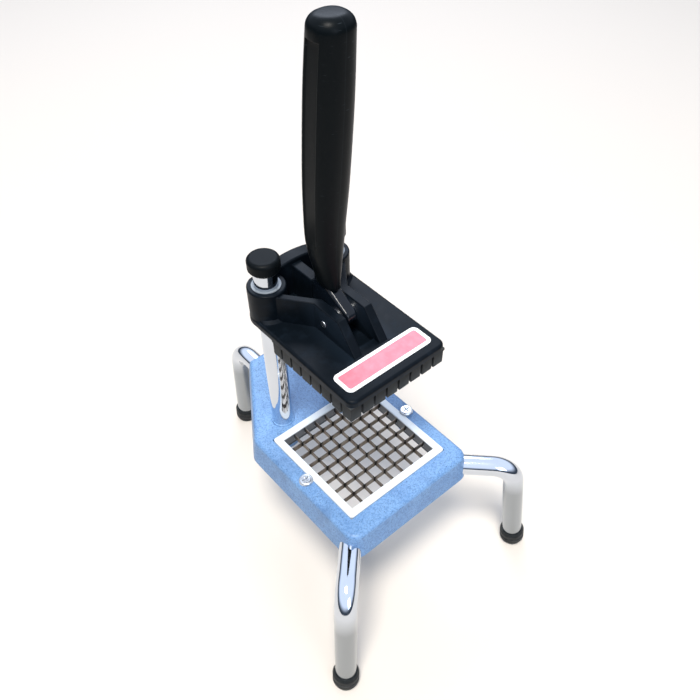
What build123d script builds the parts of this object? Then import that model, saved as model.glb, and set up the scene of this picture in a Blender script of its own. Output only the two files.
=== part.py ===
from build123d import *

import os
from math import cos, radians, sin, sqrt

# Tripod vegetable dicer: a sliding pusher head on two guide columns over a square grid of blades.
# The part is worked out from the centre of the blade window on the top face of the base plate.
# Each piece is then moved to the frame of the finished part: origin on the ground, in the middle
# of the footprint, +X to the right, -Y to the front where the user stands, +Z up. Millimetres.

# Cutting grid
cell_pitch = 10.0
cell_count = 8
strip_thickness = 0.5
strip_depth = 4.5
strip_drop = 0.3            # strips sit this far below the base plate's top face
strip_seat = 3.0            # length of each strip end held in the frame
notch_clearance = 0.05      # on each side of a strip where two strips cross

# Blade frame
frame_rim = 6.0
frame_depth = 8.5
frame_proud = 1.0
frame_corner = 2.5
frame_edge_break = 0.4
frame_clearance = 0.2

# Base plate
base_height = 118.0
base_side_margin = 11.0     # casting beyond the blade frame, at the sides
base_front_margin = 15.0
base_corner = 9.0
taper_margin = 9.0          # blade frame to the start of the rear taper
base_tail = 68.2            # columns to the back of the casting
back_half_width = 10.5
skirt_depth = 23.0
skirt_draft = 7.0           # degrees; the skirt widens downwards
top_thickness = 5.0
skirt_wall = 4.5
edge_round = 3.5
side_round = 10.0
corner_round = 2.5
window_lip = 5.0
lip_thickness = 3.5
collar_wall = 4.0
rib_thickness = 4.0
rib_depth = 12.0

# Tubes and columns
tube_radius = 7.95
leg_wall = 1.5
leg_drop = 17.0
socket_wall = 2.6
front_socket_depth = 17.0
rear_socket_depth = 34.0
column_setback = 12.8       # blade frame to the column axes
column_floor = 4.0          # metal left under each column in its boss
boss_wall = 4.5
foot_collar_height = 0.9
foot_collar_wall = 1.2
foot_collar_round = 0.6
column_edge_break = 0.8

# Legs and feet
front_overhang = 40.2       # socket mouth to the elbow
rear_overhang = 33.5
front_splay = 8.0
rear_splay = 5.0
bend_radius = 19.0
foot_wall = 2.05
foot_height = 15.0
sole_thickness = 4.0
foot_groove = 0.9

# Column caps and the bolts under the base
cap_wall = 2.85
cap_height = 8.7
cap_round = 2.8
cap_lower_round = 1.0
cap_top_wall = 3.0
cap_gap = 13.3              # boss to cap, at rest
stop_ring_wall = 1.35
stop_ring_height = 1.5
stop_ring_round = 0.6
column_bolt_radius = 4.0
column_bolt_head = 5.3
column_bolt_flats = 13.0
column_bolt_length = 22.0
washer_radius = 8.0
washer_thickness = 1.6
bolt_clearance = 0.25

# Blade clamp screws
clamp_screw_margin = 4.0    # blade frame to the screw axis
clamp_head_radius = 5.25
clamp_head_height = 3.0
clamp_shank_radius = 2.5
clamp_shank_length = 14.0
clamp_boss_radius = 6.0
clamp_boss_depth = 17.0
recess_width = 1.2
recess_length = 5.6
recess_depth = 1.8

# Leg set screws
set_screw_radius = 3.0
set_screw_flats = 10.0
set_screw_head = 4.0
set_screw_setback = 10.0

# Pusher head
head_lift = 113.0           # top of the head plate above the base plate, at rest
plate_thickness = 5.0
plate_overhang = 0.5        # plate beyond the window, at the front
plate_corner = 5.5
plate_round = 2.0
head_boss_wall = 5.05
boss_edge = 0.3             # plate beyond each boss, at the sides
boss_height = 22.0          # above the head plate
boss_flare = 2.0            # foot of each boss, on the side towards the middle of the plate
boss_round = 1.0
rod_relief = 1.0
bush_length = 10.0
bush_wall = 1.8
bush_running_clearance = 0.05
bush_inset = 1.5            # lower bush, above the plate's underside
bush_proud = 0.3            # upper bush, above the boss
cheek_height = 20.0
cheek_outer = 14.0
slot_half_width = 7.3
cheek_front = 13.6
slope_run = 15.9
cheek_bend_y = 26.0
cheek_root_setback = 10.6   # ahead of the column axes
cheek_root_aside = 3.8      # outside the column axes
cheek_root_width = 6.0
cheek_round = 0.8
wall_round = 1.2
rib_round = 0.8
slot_front = 7.0
slot_floor = 3.0            # depth of the slot's floor below the plate's top
wall_setback = 3.2          # column axes to the wall's front face
wall_crown = 27.3           # top of the arched wall above the head plate, in the middle
wall_relief = 0.6           # round the caps, where the wall passes them
stop_rib_half = 3.8
stop_rib_front = 40.7
stop_rib_height = 24.0

# Pusher block
peg_gap = 1.8
peg_length = 12.0
peg_round = 2.0
slab_thickness = 2.0
slab_margin = 0.4           # inside the window's edge
block_screw_offset = 2.5    # in cells, from the block's centre
block_screw_radius = 1.75
block_screw_wall = 1.1      # peg left round the screw head
block_screw_head_height = 2.2
block_screw_length = 15.0
block_screw_sink = 3.0
block_screw_slot_width = 0.8
block_screw_slot_depth = 1.0

# Lever
pivot_y = 16.8
pivot_lift = 8.6            # pin axis above the head plate's top
pivot_radius = 2.5
pivot_proud = 0.5
pivot_running_clearance = 0.05
pivot_round = 0.4
tongue_half = 4.5
tongue_round = 2.2
tongue_disc = 8.0
nose_back = 7.0
nose_rise = 5.0
nose_radius = 5.5
heel_radius = 4.5
stop_gap = 0.2              # between the tongue's heel and the stop rib
shoulder_front = 23.5
shoulder_back = 37.5
shoulder_lift = 28.0        # bottom of the grip above the head plate's top
spacer_radius = 7.0
spacer_gap = 0.1
tang_half = 4.0
tang_depth = 13.0
tang_length = 62.0
grip_pin_radius = 2.0
grip_pin_length = 17.0
grip_pin_lift = 22.0

# Grip sections: height above the grip's bottom, half width, half depth, centre
grip_sections = [
    (0.0, 5.4, 9.6, 28.0),
    (10.0, 7.0, 10.4, 28.9),
    (20.0, 9.6, 10.9, 29.6),
    (30.0, 11.5, 11.2, 29.9),
    (41.0, 12.2, 11.5, 29.4),
    (61.0, 12.9, 12.2, 27.4),
    (81.0, 13.3, 12.5, 25.5),
    (101.0, 13.3, 12.5, 23.5),
    (121.0, 13.2, 12.4, 21.5),
    (141.0, 12.7, 11.9, 19.6),
    (158.5, 11.9, 11.3, 17.8),
]
grip_corner = 0.46          # corner radius as a share of the section's half depth
grip_dome = 6.5             # height of the rounded top above the last section
grip_dome_steps = (30, 60, 82)

# Label
label_margin = 5.0          # plate left at each end
label_depth = 18.0
label_thickness = 0.3
label_y = -24.5
label_corner = 4.0

window_half = cell_pitch * cell_count / 2
frame_half = window_half + frame_rim
frame_bottom = frame_proud - frame_depth
clamp_screw_x = frame_half + clamp_screw_margin
head_bottom = head_lift - plate_thickness
boss_radius = tube_radius + head_boss_wall
cap_radius = tube_radius + cap_wall
plate_half_width = window_half
plate_front = window_half + plate_overhang
column_x = plate_half_width - boss_radius - boss_edge
column_y = frame_half + column_setback
column_top = head_lift + boss_height + cap_gap + cap_height - cap_top_wall
cheek_root_y = column_y - cheek_root_setback
cheek_root_outer = column_x + cheek_root_aside
cheek_root_inner = cheek_root_outer - cheek_root_width
wall_front = column_y + wall_setback
base_half_width = frame_half + base_side_margin
base_front = frame_half + base_front_margin
taper_start = frame_half + taper_margin
base_back = column_y + base_tail
peg_size = cell_pitch - peg_gap
slab_half = window_half - slab_margin
block_screw_head = peg_size / 2 - block_screw_wall
label_width = 2 * (window_half - label_margin)
foot_radius = tube_radius + foot_wall
stop_ring_radius = tube_radius + stop_ring_wall
plate_back = column_y + plate_half_width - column_x
peg_top = head_bottom - slab_thickness
pivot_z = head_lift + pivot_lift
grip_bottom = head_lift + shoulder_lift
leg_axis = -leg_drop
column_sides = (-1, 1)
x_axis_plane = Plane.YZ


def cylinder(radius, low, high, x=0.0, y=0.0):
    """A vertical cylinder between two heights."""
    return Pos(x, y, (low + high) / 2) * Cylinder(radius, high - low)


def block(x, y, z):
    """A box from its low and high values along each axis."""
    size = [high - low for low, high in (x, y, z)]
    middle = [(high + low) / 2 for low, high in (x, y, z)]
    return Pos(*middle) * Box(*size)


def hexagon(flats, low, high):
    """A vertical hexagonal prism, by its width across flats."""
    return Pos(0, 0, low) * extrude(RegularPolygon(flats / 2, 6, major_radius=False), high - low)


def cross_recess(top, x=0.0, y=0.0):
    """The cross-shaped driver recess in a screw head that ends at top."""
    half_length = recess_length / 2
    half_width = recess_width / 2
    arm = block((-half_length, half_length), (-half_width, half_width), (-recess_depth, 1))
    return Pos(x, y, top) * (arm + Rot(0, 0, 90) * arm)


def grid(count):
    """Centre offsets of a row of cells."""
    return [cell_pitch * (index - (count - 1) / 2) for index in range(count)]


# ---------------------------------------------------------------- cutting grid

def blade_strip(notch_low, notch_high):
    """One strip along Y, with a notch at each crossing."""
    half = window_half + strip_seat
    top = -strip_drop
    strip = block((-strip_thickness / 2, strip_thickness / 2), (-half, half), (top - strip_depth, top))
    notch = strip_thickness / 2 + notch_clearance
    for y in grid(cell_count - 1):
        strip -= block((-notch, notch), (y - notch, y + notch), (notch_low, notch_high))
    return strip


def blade_set():
    """Strips that run front to back, and strips that run across, notched into each other."""
    top = -strip_drop
    middle = top - strip_depth / 2
    places = grid(cell_count - 1)
    below = blade_strip(top - strip_depth - 1, middle)
    above = Rot(0, 0, 90) * blade_strip(middle, top + 1)
    return [Pos(x, 0, 0) * below for x in places], [Pos(0, y, 0) * above for y in places]


def strip_slots():
    """Blind slots in the frame that hold the ends of the strips."""
    half = window_half + strip_seat
    top = -strip_drop
    slot = block((-strip_thickness / 2, strip_thickness / 2), (-half, half), (frame_bottom - 1, top))
    slots = [Pos(x, 0, 0) * slot for x in grid(cell_count - 1)]
    return slots + [Rot(0, 0, 90) * each for each in slots]


def blade_frame():
    """Square rim that holds the strips and drops into the base plate."""
    outline = RectangleRounded(2 * frame_half, 2 * frame_half, frame_corner)
    rim = outline - Rectangle(2 * window_half, 2 * window_half)
    body = Pos(0, 0, frame_bottom) * extrude(rim, frame_depth)
    body = chamfer(body.faces().sort_by(Axis.Z)[-1].edges(), frame_edge_break)
    for slot in strip_slots():
        body -= slot
    for side in column_sides:
        body -= cylinder(clamp_head_radius + frame_clearance, 0, frame_proud + 1, side * clamp_screw_x)
    return body


def clamp_screw(side):
    """Pan-head screw beside the window; its head overlaps the frame's rim."""
    x = side * clamp_screw_x
    head = cylinder(clamp_head_radius, 0, clamp_head_height, x)
    head = fillet(head.faces().sort_by(Axis.Z)[-1].edges(), clamp_head_height * 0.6)
    shank = cylinder(clamp_shank_radius, -clamp_shank_length, 0, x)
    return head + shank - cross_recess(clamp_head_height, x)


# ---------------------------------------------------------------- base plate

def base_outline(spread=0.0):
    """The casting from above: square shoulders at the front, tapered to the rear leg."""
    right = [
        (base_half_width, -base_front),
        (base_half_width, taper_start),
        (back_half_width, base_back),
    ]
    left = [(-x, y) for x, y in reversed(right)]
    face = make_face(Polyline(*right, *left, close=True))
    face = fillet(face.vertices().filter_by(lambda v: v.Y < 0), base_corner)
    face = fillet(face.vertices().filter_by(lambda v: abs(v.Y - taper_start) < 0.1), side_round)
    face = fillet(face.vertices().filter_by(lambda v: v.Y > base_back - 0.1), corner_round)
    return offset(face, spread, kind=Kind.ARC) if spread else face


def socket(depth, radius, angle, mouth):
    """A round bar for one leg socket, from inside the casting out to its mouth."""
    bar = Cylinder(radius, depth, align=(Align.CENTER, Align.CENTER, Align.MAX))
    direction = (cos(angle), sin(angle), 0)
    outward = Plane(origin=(mouth * direction[0], mouth * direction[1], leg_axis), z_dir=direction)
    return outward * bar


def leg_directions():
    """Angle, socket mouth, socket depth, elbow reach and splay of each leg."""
    corner_x = base_half_width - base_corner
    corner_y = base_front - base_corner
    aside = (corner_y - corner_x) / sqrt(2)
    front_mouth = (corner_x + corner_y) / sqrt(2) + sqrt(base_corner**2 - aside**2)
    front_elbow = front_mouth + front_overhang
    rear_elbow = base_back + rear_overhang
    return {
        "front_left": (radians(225), front_mouth, front_socket_depth, front_elbow, front_splay),
        "front_right": (radians(315), front_mouth, front_socket_depth, front_elbow, front_splay),
        "rear": (radians(90), base_back, rear_socket_depth, rear_elbow, rear_splay),
    }


def set_screw_place(angle, mouth):
    """Where a leg's set screw stands, on the socket's centre line."""
    setback = mouth - set_screw_setback
    return Pos(setback * cos(angle), setback * sin(angle), leg_axis)


def drafted(outline, low):
    """The casting's outer or inner form: an outline that widens downwards."""
    return extrude(outline, -low, taper=-skirt_draft)


def base_plate():
    """Hollow casting with the window's collar, column bosses, leg sockets and ribs inside."""
    body = drafted(base_outline(), skirt_depth)
    body = fillet(body.faces().sort_by(Axis.Z)[-1].edges(), edge_round)
    hollow = drafted(base_outline(-skirt_wall), 2 * skirt_depth)
    body -= hollow & block((-200, 200), (-200, 200), (-3 * skirt_depth, -top_thickness))
    inside = drafted(base_outline(0.5 - skirt_wall), 2 * skirt_depth)

    seat_half = frame_half + frame_clearance
    collar_half = seat_half + collar_wall
    lip_low = frame_bottom - lip_thickness
    body += block((-collar_half, collar_half), (-collar_half, collar_half), (lip_low, -1))
    column_boss_radius = tube_radius + boss_wall
    for side in column_sides:
        x = side * column_x
        body += cylinder(column_boss_radius, -skirt_depth, -1, x, column_y)
        collar = cylinder(tube_radius + foot_collar_wall, -1, foot_collar_height, x, column_y)
        body += fillet(collar.faces().sort_by(Axis.Z)[-1].edges(), foot_collar_round)
        screw_boss = cylinder(clamp_boss_radius, -clamp_boss_depth, -1, side * clamp_screw_x)
        body += screw_boss & inside
    rib_low = -top_thickness - rib_depth
    body += block((-column_x, column_x), (column_y, column_y + rib_thickness), (rib_low, -1))
    spine_back = base_back - rear_socket_depth
    body += block((-rib_thickness / 2, rib_thickness / 2), (collar_half - 1, spine_back + 1), (rib_low, -1))
    for angle, mouth, depth, _, _ in leg_directions().values():
        body += socket(depth, tube_radius + socket_wall, angle, mouth) & inside
        pad_low = -tube_radius - socket_wall - 1
        body += set_screw_place(angle, mouth) * cylinder(set_screw_radius + 3, pad_low, 1 - tube_radius)

    body -= block((-seat_half, seat_half), (-seat_half, seat_half), (frame_bottom, 1))
    opening = window_half + frame_rim - window_lip
    body -= block((-opening, opening), (-opening, opening), (-skirt_depth - 1, 1))
    for side in column_sides:
        x = side * column_x
        body -= cylinder(tube_radius, column_floor - skirt_depth, foot_collar_height + 1, x, column_y)
        body -= cylinder(column_bolt_radius + bolt_clearance, -skirt_depth - 1, 0, x, column_y)
        body -= cylinder(clamp_shank_radius, -clamp_shank_length, 1, side * clamp_screw_x)
    for angle, mouth, depth, _, _ in leg_directions().values():
        body -= socket(depth + skirt_wall + 2, tube_radius, angle, mouth + skirt_wall)
        body -= set_screw_place(angle, mouth) * cylinder(set_screw_radius, -tube_radius - socket_wall - 2, 0)
    return body


# ---------------------------------------------------------------- legs and feet

def leg_points(angle, mouth, depth, reach, splay):
    """Socket end, elbow and ground point of a leg's centre line."""
    inner = mouth - depth + skirt_wall / 2
    height = base_height - leg_drop
    ground = reach + height * sin(radians(splay)) / cos(radians(splay))
    along = [(inner, leg_axis), (reach, leg_axis), (ground, -base_height)]
    return [Vector(far * cos(angle), far * sin(angle), z) for far, z in along]


def leg(angle, mouth, depth, reach, splay):
    """Bent tube from its socket to the rubber foot."""
    start, elbow, ground = leg_points(angle, mouth, depth, reach, splay)
    down = (ground - elbow).normalized()
    end = ground - down * sole_thickness
    path = FilletPolyline(start, elbow, end, radius=bend_radius)
    section = Plane(origin=start, z_dir=elbow - start)
    ring = Circle(tube_radius) - Circle(tube_radius - leg_wall)
    tube = sweep(section * ring, path)
    hole = set_screw_place(angle, mouth) * cylinder(set_screw_radius, -tube_radius - 1, 0)
    return tube - hole


def foot(angle, mouth, depth, reach, splay):
    """Rubber ferrule on the end of a leg, cut level with the ground."""
    _, elbow, ground = leg_points(angle, mouth, depth, reach, splay)
    up = (elbow - ground).normalized()
    lip = tube_radius + (foot_radius - tube_radius) * 0.45
    groove_low = foot_height * 0.48
    groove_high = groove_low + 2 * foot_groove
    profile = Polyline(
        (0, -3),
        (foot_radius * 0.7, -3),
        (foot_radius * 0.88, 0.6),
        (foot_radius, 4),
        (foot_radius, groove_low),
        (foot_radius - foot_groove, groove_low + foot_groove / 2),
        (foot_radius - foot_groove, groove_high - foot_groove / 2),
        (foot_radius, groove_high),
        (foot_radius, foot_height - 2.5),
        (lip, foot_height),
        (tube_radius, foot_height),
        (tube_radius, sole_thickness),
        (0, sole_thickness),
        close=True,
    )
    ferrule = revolve(make_face(Plane.XZ * profile), Axis.Z)
    placed = Plane(origin=ground, z_dir=up) * ferrule
    below = Pos(ground.X, ground.Y, -base_height - 10) * Box(60, 60, 20)
    return placed - below


def leg_set_screw(angle, mouth):
    """Hexagon-head screw that clamps a leg in its socket from below."""
    seat = -tube_radius - socket_wall - 1
    shank = cylinder(set_screw_radius, seat, -tube_radius + leg_wall)
    head = hexagon(set_screw_flats, seat - set_screw_head, seat)
    return set_screw_place(angle, mouth) * (shank + head)


# ---------------------------------------------------------------- guide columns

def column(side):
    """Ground steel guide column, tapped at its lower end."""
    x = side * column_x
    rod = cylinder(tube_radius, column_floor - skirt_depth, column_top, x, column_y)
    rod = chamfer(rod.faces().sort_by(Axis.Z)[-1].edges(), column_edge_break)
    tapped_top = column_bolt_length - skirt_depth
    return rod - cylinder(column_bolt_radius, -skirt_depth - 1, tapped_top, x, column_y)


def column_washer(side):
    """Flat washer under a column's boss."""
    x = side * column_x
    disc = cylinder(washer_radius, -skirt_depth - washer_thickness, -skirt_depth, x, column_y)
    hole = column_bolt_radius + bolt_clearance
    return disc - cylinder(hole, -skirt_depth - washer_thickness - 1, 0, x, column_y)


def column_bolt(side):
    """Hexagon bolt that pulls a column down into the base."""
    under = -skirt_depth - washer_thickness
    shank = cylinder(column_bolt_radius, under, column_bolt_length - skirt_depth)
    head = hexagon(column_bolt_flats, under - column_bolt_head, under)
    return Pos(side * column_x, column_y, 0) * (shank + head)


def column_cap(side):
    """Round plastic cap pressed over the top of a column."""
    top = column_top + cap_top_wall
    cap = cylinder(cap_radius, top - cap_height, top)
    cap = fillet(cap.faces().sort_by(Axis.Z)[-1].edges(), cap_round)
    cap = fillet(cap.faces().sort_by(Axis.Z)[0].edges(), cap_lower_round)
    rod = cylinder(tube_radius, top - cap_height - 1, column_top)
    rod = chamfer(rod.faces().sort_by(Axis.Z)[-1].edges(), column_edge_break)
    return Pos(side * column_x, column_y, 0) * (cap - rod)


def stop_ring(side):
    """Rubber ring under a cap that stops the head at the top."""
    top = column_top + cap_top_wall - cap_height
    ring = cylinder(stop_ring_radius, top - stop_ring_height, top)
    ring = fillet(ring.faces().sort_by(Axis.Z)[0].edges(), stop_ring_round)
    return Pos(side * column_x, column_y, 0) * (ring - cylinder(tube_radius, 0, top + 1))


# ---------------------------------------------------------------- pusher head

def plate_outline(inset=0.0):
    """The head plate from above; its rear corners follow the column bosses."""
    length = plate_front + plate_back - 2 * inset
    middle = (plate_back - plate_front) / 2
    face = Pos(0, middle) * Rectangle(2 * (plate_half_width - inset), length)
    face = fillet(face.vertices().sort_by(Axis.Y)[:2], plate_corner - inset)
    return fillet(face.vertices().sort_by(Axis.Y)[-2:], plate_half_width - column_x - inset - 0.01)


def head_plate():
    """Flat plate with a rounded top edge."""
    plate = Pos(0, 0, head_bottom) * extrude(plate_outline(), plate_thickness)
    return fillet(plate.faces().sort_by(Axis.Z)[-1].edges(), plate_round)


def cheek_walls():
    """The two walls beside the lever, from the bosses to the sloped front."""
    right = make_face(
        Polyline(
            (slot_half_width, -cheek_front),
            (cheek_outer, -cheek_front),
            (cheek_outer, cheek_bend_y),
            (cheek_root_outer, cheek_root_y),
            (column_x, column_y),
            (cheek_root_inner, cheek_root_y),
            (slot_half_width, cheek_bend_y),
            close=True,
        )
    )
    wall = Pos(0, 0, head_bottom) * extrude(right, plate_thickness + cheek_height)
    slope = make_face(
        Polyline(
            (-cheek_front - 1, head_lift),
            (-cheek_front, head_lift),
            (slope_run - cheek_front, head_lift + cheek_height),
            (slope_run - cheek_front, head_lift + cheek_height + 1),
            (-cheek_front - 1, head_lift + cheek_height + 1),
            close=True,
        )
    )
    wall -= extrude(x_axis_plane * slope, cheek_outer + 1)
    top = head_lift + cheek_height
    rim = wall.faces().filter_by(lambda f: f.center().Z > head_lift + 1 and f.normal_at().Z > 0.3)
    rim_edges = rim.edges().filter_by(lambda e: head_lift + 1 < e.center().Z <= top)
    wall = fillet(rim_edges, cheek_round)
    return wall + mirror(wall, Plane.YZ)


def rear_wall():
    """Arched wall between the bosses, with the rib that the lever's heel rests on."""
    low = head_bottom
    boss_top = head_lift + boss_height
    arch = ThreePointArc((column_x, boss_top), (0, head_lift + wall_crown), (-column_x, boss_top))
    sides = Polyline((-column_x, boss_top), (-column_x, low), (column_x, low), (column_x, boss_top))
    face = make_face(arch + sides)
    wall = Pos(0, wall_front, 0) * extrude(Plane.XZ * face, wall_front - plate_back)
    top = wall.faces().sort_by(Axis.Z)[-1]
    wall = fillet(top.edges().filter_by(GeomType.CIRCLE), wall_round)
    for side in column_sides:
        wall -= cylinder(cap_radius + wall_relief, boss_top, boss_top + 10, side * column_x, column_y)
    rib = block(
        (-stop_rib_half, stop_rib_half),
        (stop_rib_front, wall_front + 1),
        (low, head_lift + stop_rib_height),
    )
    rib_top = rib.faces().sort_by(Axis.Z)[-1].edges()
    rib = fillet(rib_top.filter_by(lambda e: e.center().Y < wall_front), rib_round)
    return wall + rib


def bush_spans():
    """Low and high ends of the lower and upper guide bushes."""
    top = head_lift + boss_height + bush_proud
    bottom = head_bottom + bush_inset
    return (bottom, bottom + bush_length), (top - bush_length, top)


def pusher_head():
    """Casting that slides on the columns and carries the lever and the pegs."""
    boss_top = head_lift + boss_height
    bush_outer = tube_radius + bush_running_clearance + bush_wall
    flat_top = Pos(0, 0, head_bottom) * extrude(plate_outline(plate_round), plate_thickness + boss_flare)
    cone = Cone(boss_radius + boss_flare, boss_radius, boss_flare)
    flare = Pos(0, 0, head_lift + boss_flare / 2) * cone
    body = head_plate() + rear_wall()
    for side in column_sides:
        boss = cylinder(boss_radius, head_bottom, boss_top)
        boss = fillet(boss.faces().sort_by(Axis.Z)[-1].edges(), boss_round)
        place = Pos(side * column_x, column_y, 0)
        body += place * boss
        body += place * flare & flat_top
    body += cheek_walls()

    slot_low = head_lift - slot_floor
    above = boss_top + 20
    body -= block((-slot_half_width, slot_half_width), (-slot_front, stop_rib_front), (slot_low, above))
    for side in column_sides:
        x = side * column_x
        body -= cylinder(tube_radius + rod_relief, head_bottom - 1, boss_top + 20, x, column_y)
        (bottom, lower_top), (upper_bottom, _) = bush_spans()
        body -= cylinder(bush_outer, head_bottom - 1, lower_top, x, column_y)
        body -= cylinder(bush_outer, upper_bottom, boss_top + 20, x, column_y)
    pin_hole = Rot(0, 90, 0) * Cylinder(pivot_radius, 2 * cheek_outer + 2)
    body -= Pos(0, pivot_y, pivot_z) * pin_hole
    for x, y in block_screw_places():
        body -= cylinder(block_screw_radius, head_bottom - 1, block_screw_top(), x, y)
    return body


def guide_bushes(side):
    """Lower and upper steel bushes in one boss."""
    outer = tube_radius + bush_running_clearance + bush_wall
    bore = tube_radius + bush_running_clearance
    x = side * column_x
    bushes = []
    for low, high in bush_spans():
        sleeve = cylinder(outer, low, high, x, column_y)
        bushes.append(sleeve - cylinder(bore, low - 1, high + 1, x, column_y))
    return bushes


# ---------------------------------------------------------------- pusher block

def block_screw_places():
    """The four pegs that are screwed up into the head plate."""
    far = block_screw_offset * cell_pitch
    return [(x, y) for x in (-far, far) for y in (-far, far)]


def block_screw_top():
    """Height of the upper end of those screws."""
    return peg_top - peg_length + block_screw_sink + block_screw_length


def peg_block():
    """Slab with one square peg for each cell of the cutting grid."""
    body = block((-slab_half, slab_half), (-slab_half, slab_half), (peg_top, head_bottom))
    peg = Pos(0, 0, peg_top - peg_length / 2) * Box(peg_size, peg_size, peg_length)
    peg = fillet(peg.faces().sort_by(Axis.Z)[0].edges(), peg_round)
    pegs = [Pos(x, y, 0) * peg for x in grid(cell_count) for y in grid(cell_count)]
    body = body.fuse(*pegs)
    tip = peg_top - peg_length
    for x, y in block_screw_places():
        body -= cylinder(block_screw_radius, tip - 1, head_bottom + 1, x, y)
        body -= cylinder(block_screw_head, tip - 1, tip + block_screw_sink, x, y)
    return body


def block_screw(x, y):
    """Cheese-head screw sunk in a peg."""
    under = peg_top - peg_length + block_screw_sink
    head = cylinder(block_screw_head, under - block_screw_head_height, under)
    shank = cylinder(block_screw_radius, under, block_screw_top())
    face = under - block_screw_head_height
    slot = Pos(0, 0, face) * Box(3 * block_screw_head, block_screw_slot_width, 2 * block_screw_slot_depth)
    return Pos(x, y, 0) * (head + shank - slot)


# ---------------------------------------------------------------- lever

def tongue_profile():
    """Side view of the lever's tongue: nose, pin disc, heel and the shoulder under the grip."""
    heel_back = stop_rib_front - stop_gap
    heel = (heel_back - heel_radius, pivot_z + 1)
    nose = (pivot_y - nose_back, pivot_z + nose_rise)
    shoulder = make_face(
        Polyline(
            (shoulder_front, grip_bottom),
            (shoulder_front, grip_bottom - 2),
            (heel_back, grip_bottom - 6),
            (heel_back, grip_bottom - 4),
            (shoulder_back, grip_bottom),
            close=True,
        )
    )
    circles = (Pos(*nose) * Circle(nose_radius)).edges()
    circles += (Pos(pivot_y, pivot_z) * Circle(tongue_disc)).edges()
    circles += (Pos(*heel) * Circle(heel_radius)).edges()
    return make_hull(circles + shoulder.edges())


def tang():
    """Flat tang that runs up inside the grip, along the grip's lean."""
    foot_y = (shoulder_front + shoulder_back) / 2
    outline = Polyline(
        (foot_y - tang_depth / 2, grip_bottom - 1),
        (foot_y + tang_depth / 2, grip_bottom - 1),
        (foot_y + tang_depth / 2 - 3, grip_bottom + tang_length),
        (foot_y - tang_depth / 2 - 1, grip_bottom + tang_length),
        close=True,
    )
    flat = x_axis_plane * make_face(outline)
    return extrude(flat, tang_half, both=True)


def grip_pin(radius=grip_pin_radius):
    """Pin driven through the grip and the tang from behind."""
    back = shoulder_back + 1
    pin = Pos(0, back - grip_pin_length / 2, grip_bottom + grip_pin_lift) * Rot(90, 0, 0)
    return pin * Cylinder(radius, grip_pin_length)


def lever_arm():
    """Forged arm: tongue in the slot, pin hole, and tang in the grip."""
    flat = x_axis_plane * tongue_profile()
    tongue = extrude(flat, tongue_half, both=True)
    sides = tongue.faces().filter_by(Axis.X).edges()
    sides = sides.filter_by(lambda e: e.center().Z < grip_bottom - 0.5)
    tongue = fillet(sides, tongue_round)
    arm = tongue + tang()
    bore = Rot(0, 90, 0) * Cylinder(pivot_radius + pivot_running_clearance, 2 * tongue_half + 2)
    return arm - Pos(0, pivot_y, pivot_z) * bore - grip_pin()


def grip_section(lift, half_width, half_depth, centre):
    """One level section of the grip."""
    corner = grip_corner * 2 * min(half_width, half_depth)
    section = RectangleRounded(2 * half_width, 2 * half_depth, corner)
    return Pos(0, centre, grip_bottom + lift) * section


def grip():
    """Moulded grip, rounded in section, widest in the middle, with a domed top."""
    body = loft([grip_section(*values) for values in grip_sections])
    lift, half_width, half_depth, centre = grip_sections[-1]
    dome = [grip_section(lift, half_width, half_depth, centre)]
    for step in grip_dome_steps:
        inset = grip_dome * (1 - cos(radians(step)))
        height = lift + grip_dome * sin(radians(step))
        dome.append(grip_section(height, half_width - inset, half_depth - inset, centre))
    return body + loft(dome) - tang() - grip_pin()


def pivot_pin():
    """Riveted pin through both cheeks and the tongue."""
    half = cheek_outer + pivot_proud
    pin = Rot(0, 90, 0) * Cylinder(pivot_radius, 2 * half)
    pin = fillet(pin.faces().filter_by(Axis.X).edges(), pivot_round)
    return Pos(0, pivot_y, pivot_z) * pin


def lever_spacers():
    """Washers that centre the tongue between the cheeks."""
    length = slot_half_width - tongue_half - spacer_gap
    ring = Cylinder(spacer_radius, length) - Cylinder(pivot_radius, length + 2)
    middle = slot_half_width - length / 2
    return [Pos(side * middle, pivot_y, pivot_z) * Rot(0, 90, 0) * ring for side in column_sides]


def blank_label():
    """Plain plate on the front of the head."""
    face = RectangleRounded(label_width, label_depth, label_corner)
    return Pos(0, label_y, head_lift) * extrude(face, label_thickness)


# ---------------------------------------------------------------- assembly

def build():
    """Every node of the part as a list of solids, in the window's frame."""
    lengthwise, across = blade_set()
    nodes = {
        "base_plate": [base_plate()],
        "blade_frame": [blade_frame()],
        "blade_strips_lengthwise": lengthwise,
        "blade_strips_across": across,
        "blade_clamp_screws": [clamp_screw(side) for side in column_sides],
        "column_left": [column(-1)],
        "column_right": [column(1)],
        "column_washers": [column_washer(side) for side in column_sides],
        "column_bolts": [column_bolt(side) for side in column_sides],
        "column_cap_left": [column_cap(-1)],
        "column_cap_right": [column_cap(1)],
        "stop_rings": [stop_ring(side) for side in column_sides],
        "pusher_head": [pusher_head()],
        "guide_bushes_left": guide_bushes(-1),
        "guide_bushes_right": guide_bushes(1),
        "peg_block": [peg_block()],
        "peg_block_screws": [block_screw(x, y) for x, y in block_screw_places()],
        "blank_label": [blank_label()],
        "pivot_pin": [pivot_pin()],
        "lever_spacers": lever_spacers(),
        "lever_arm": [lever_arm()],
        "handle_grip": [grip()],
        "grip_pin": [grip_pin()],
    }
    screws = []
    for name, values in leg_directions().items():
        nodes["leg_" + name] = [leg(*values)]
        nodes["foot_" + name] = [foot(*values)]
        screws.append(leg_set_screw(values[0], values[1]))
    nodes["leg_set_screws"] = screws
    return nodes


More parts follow.
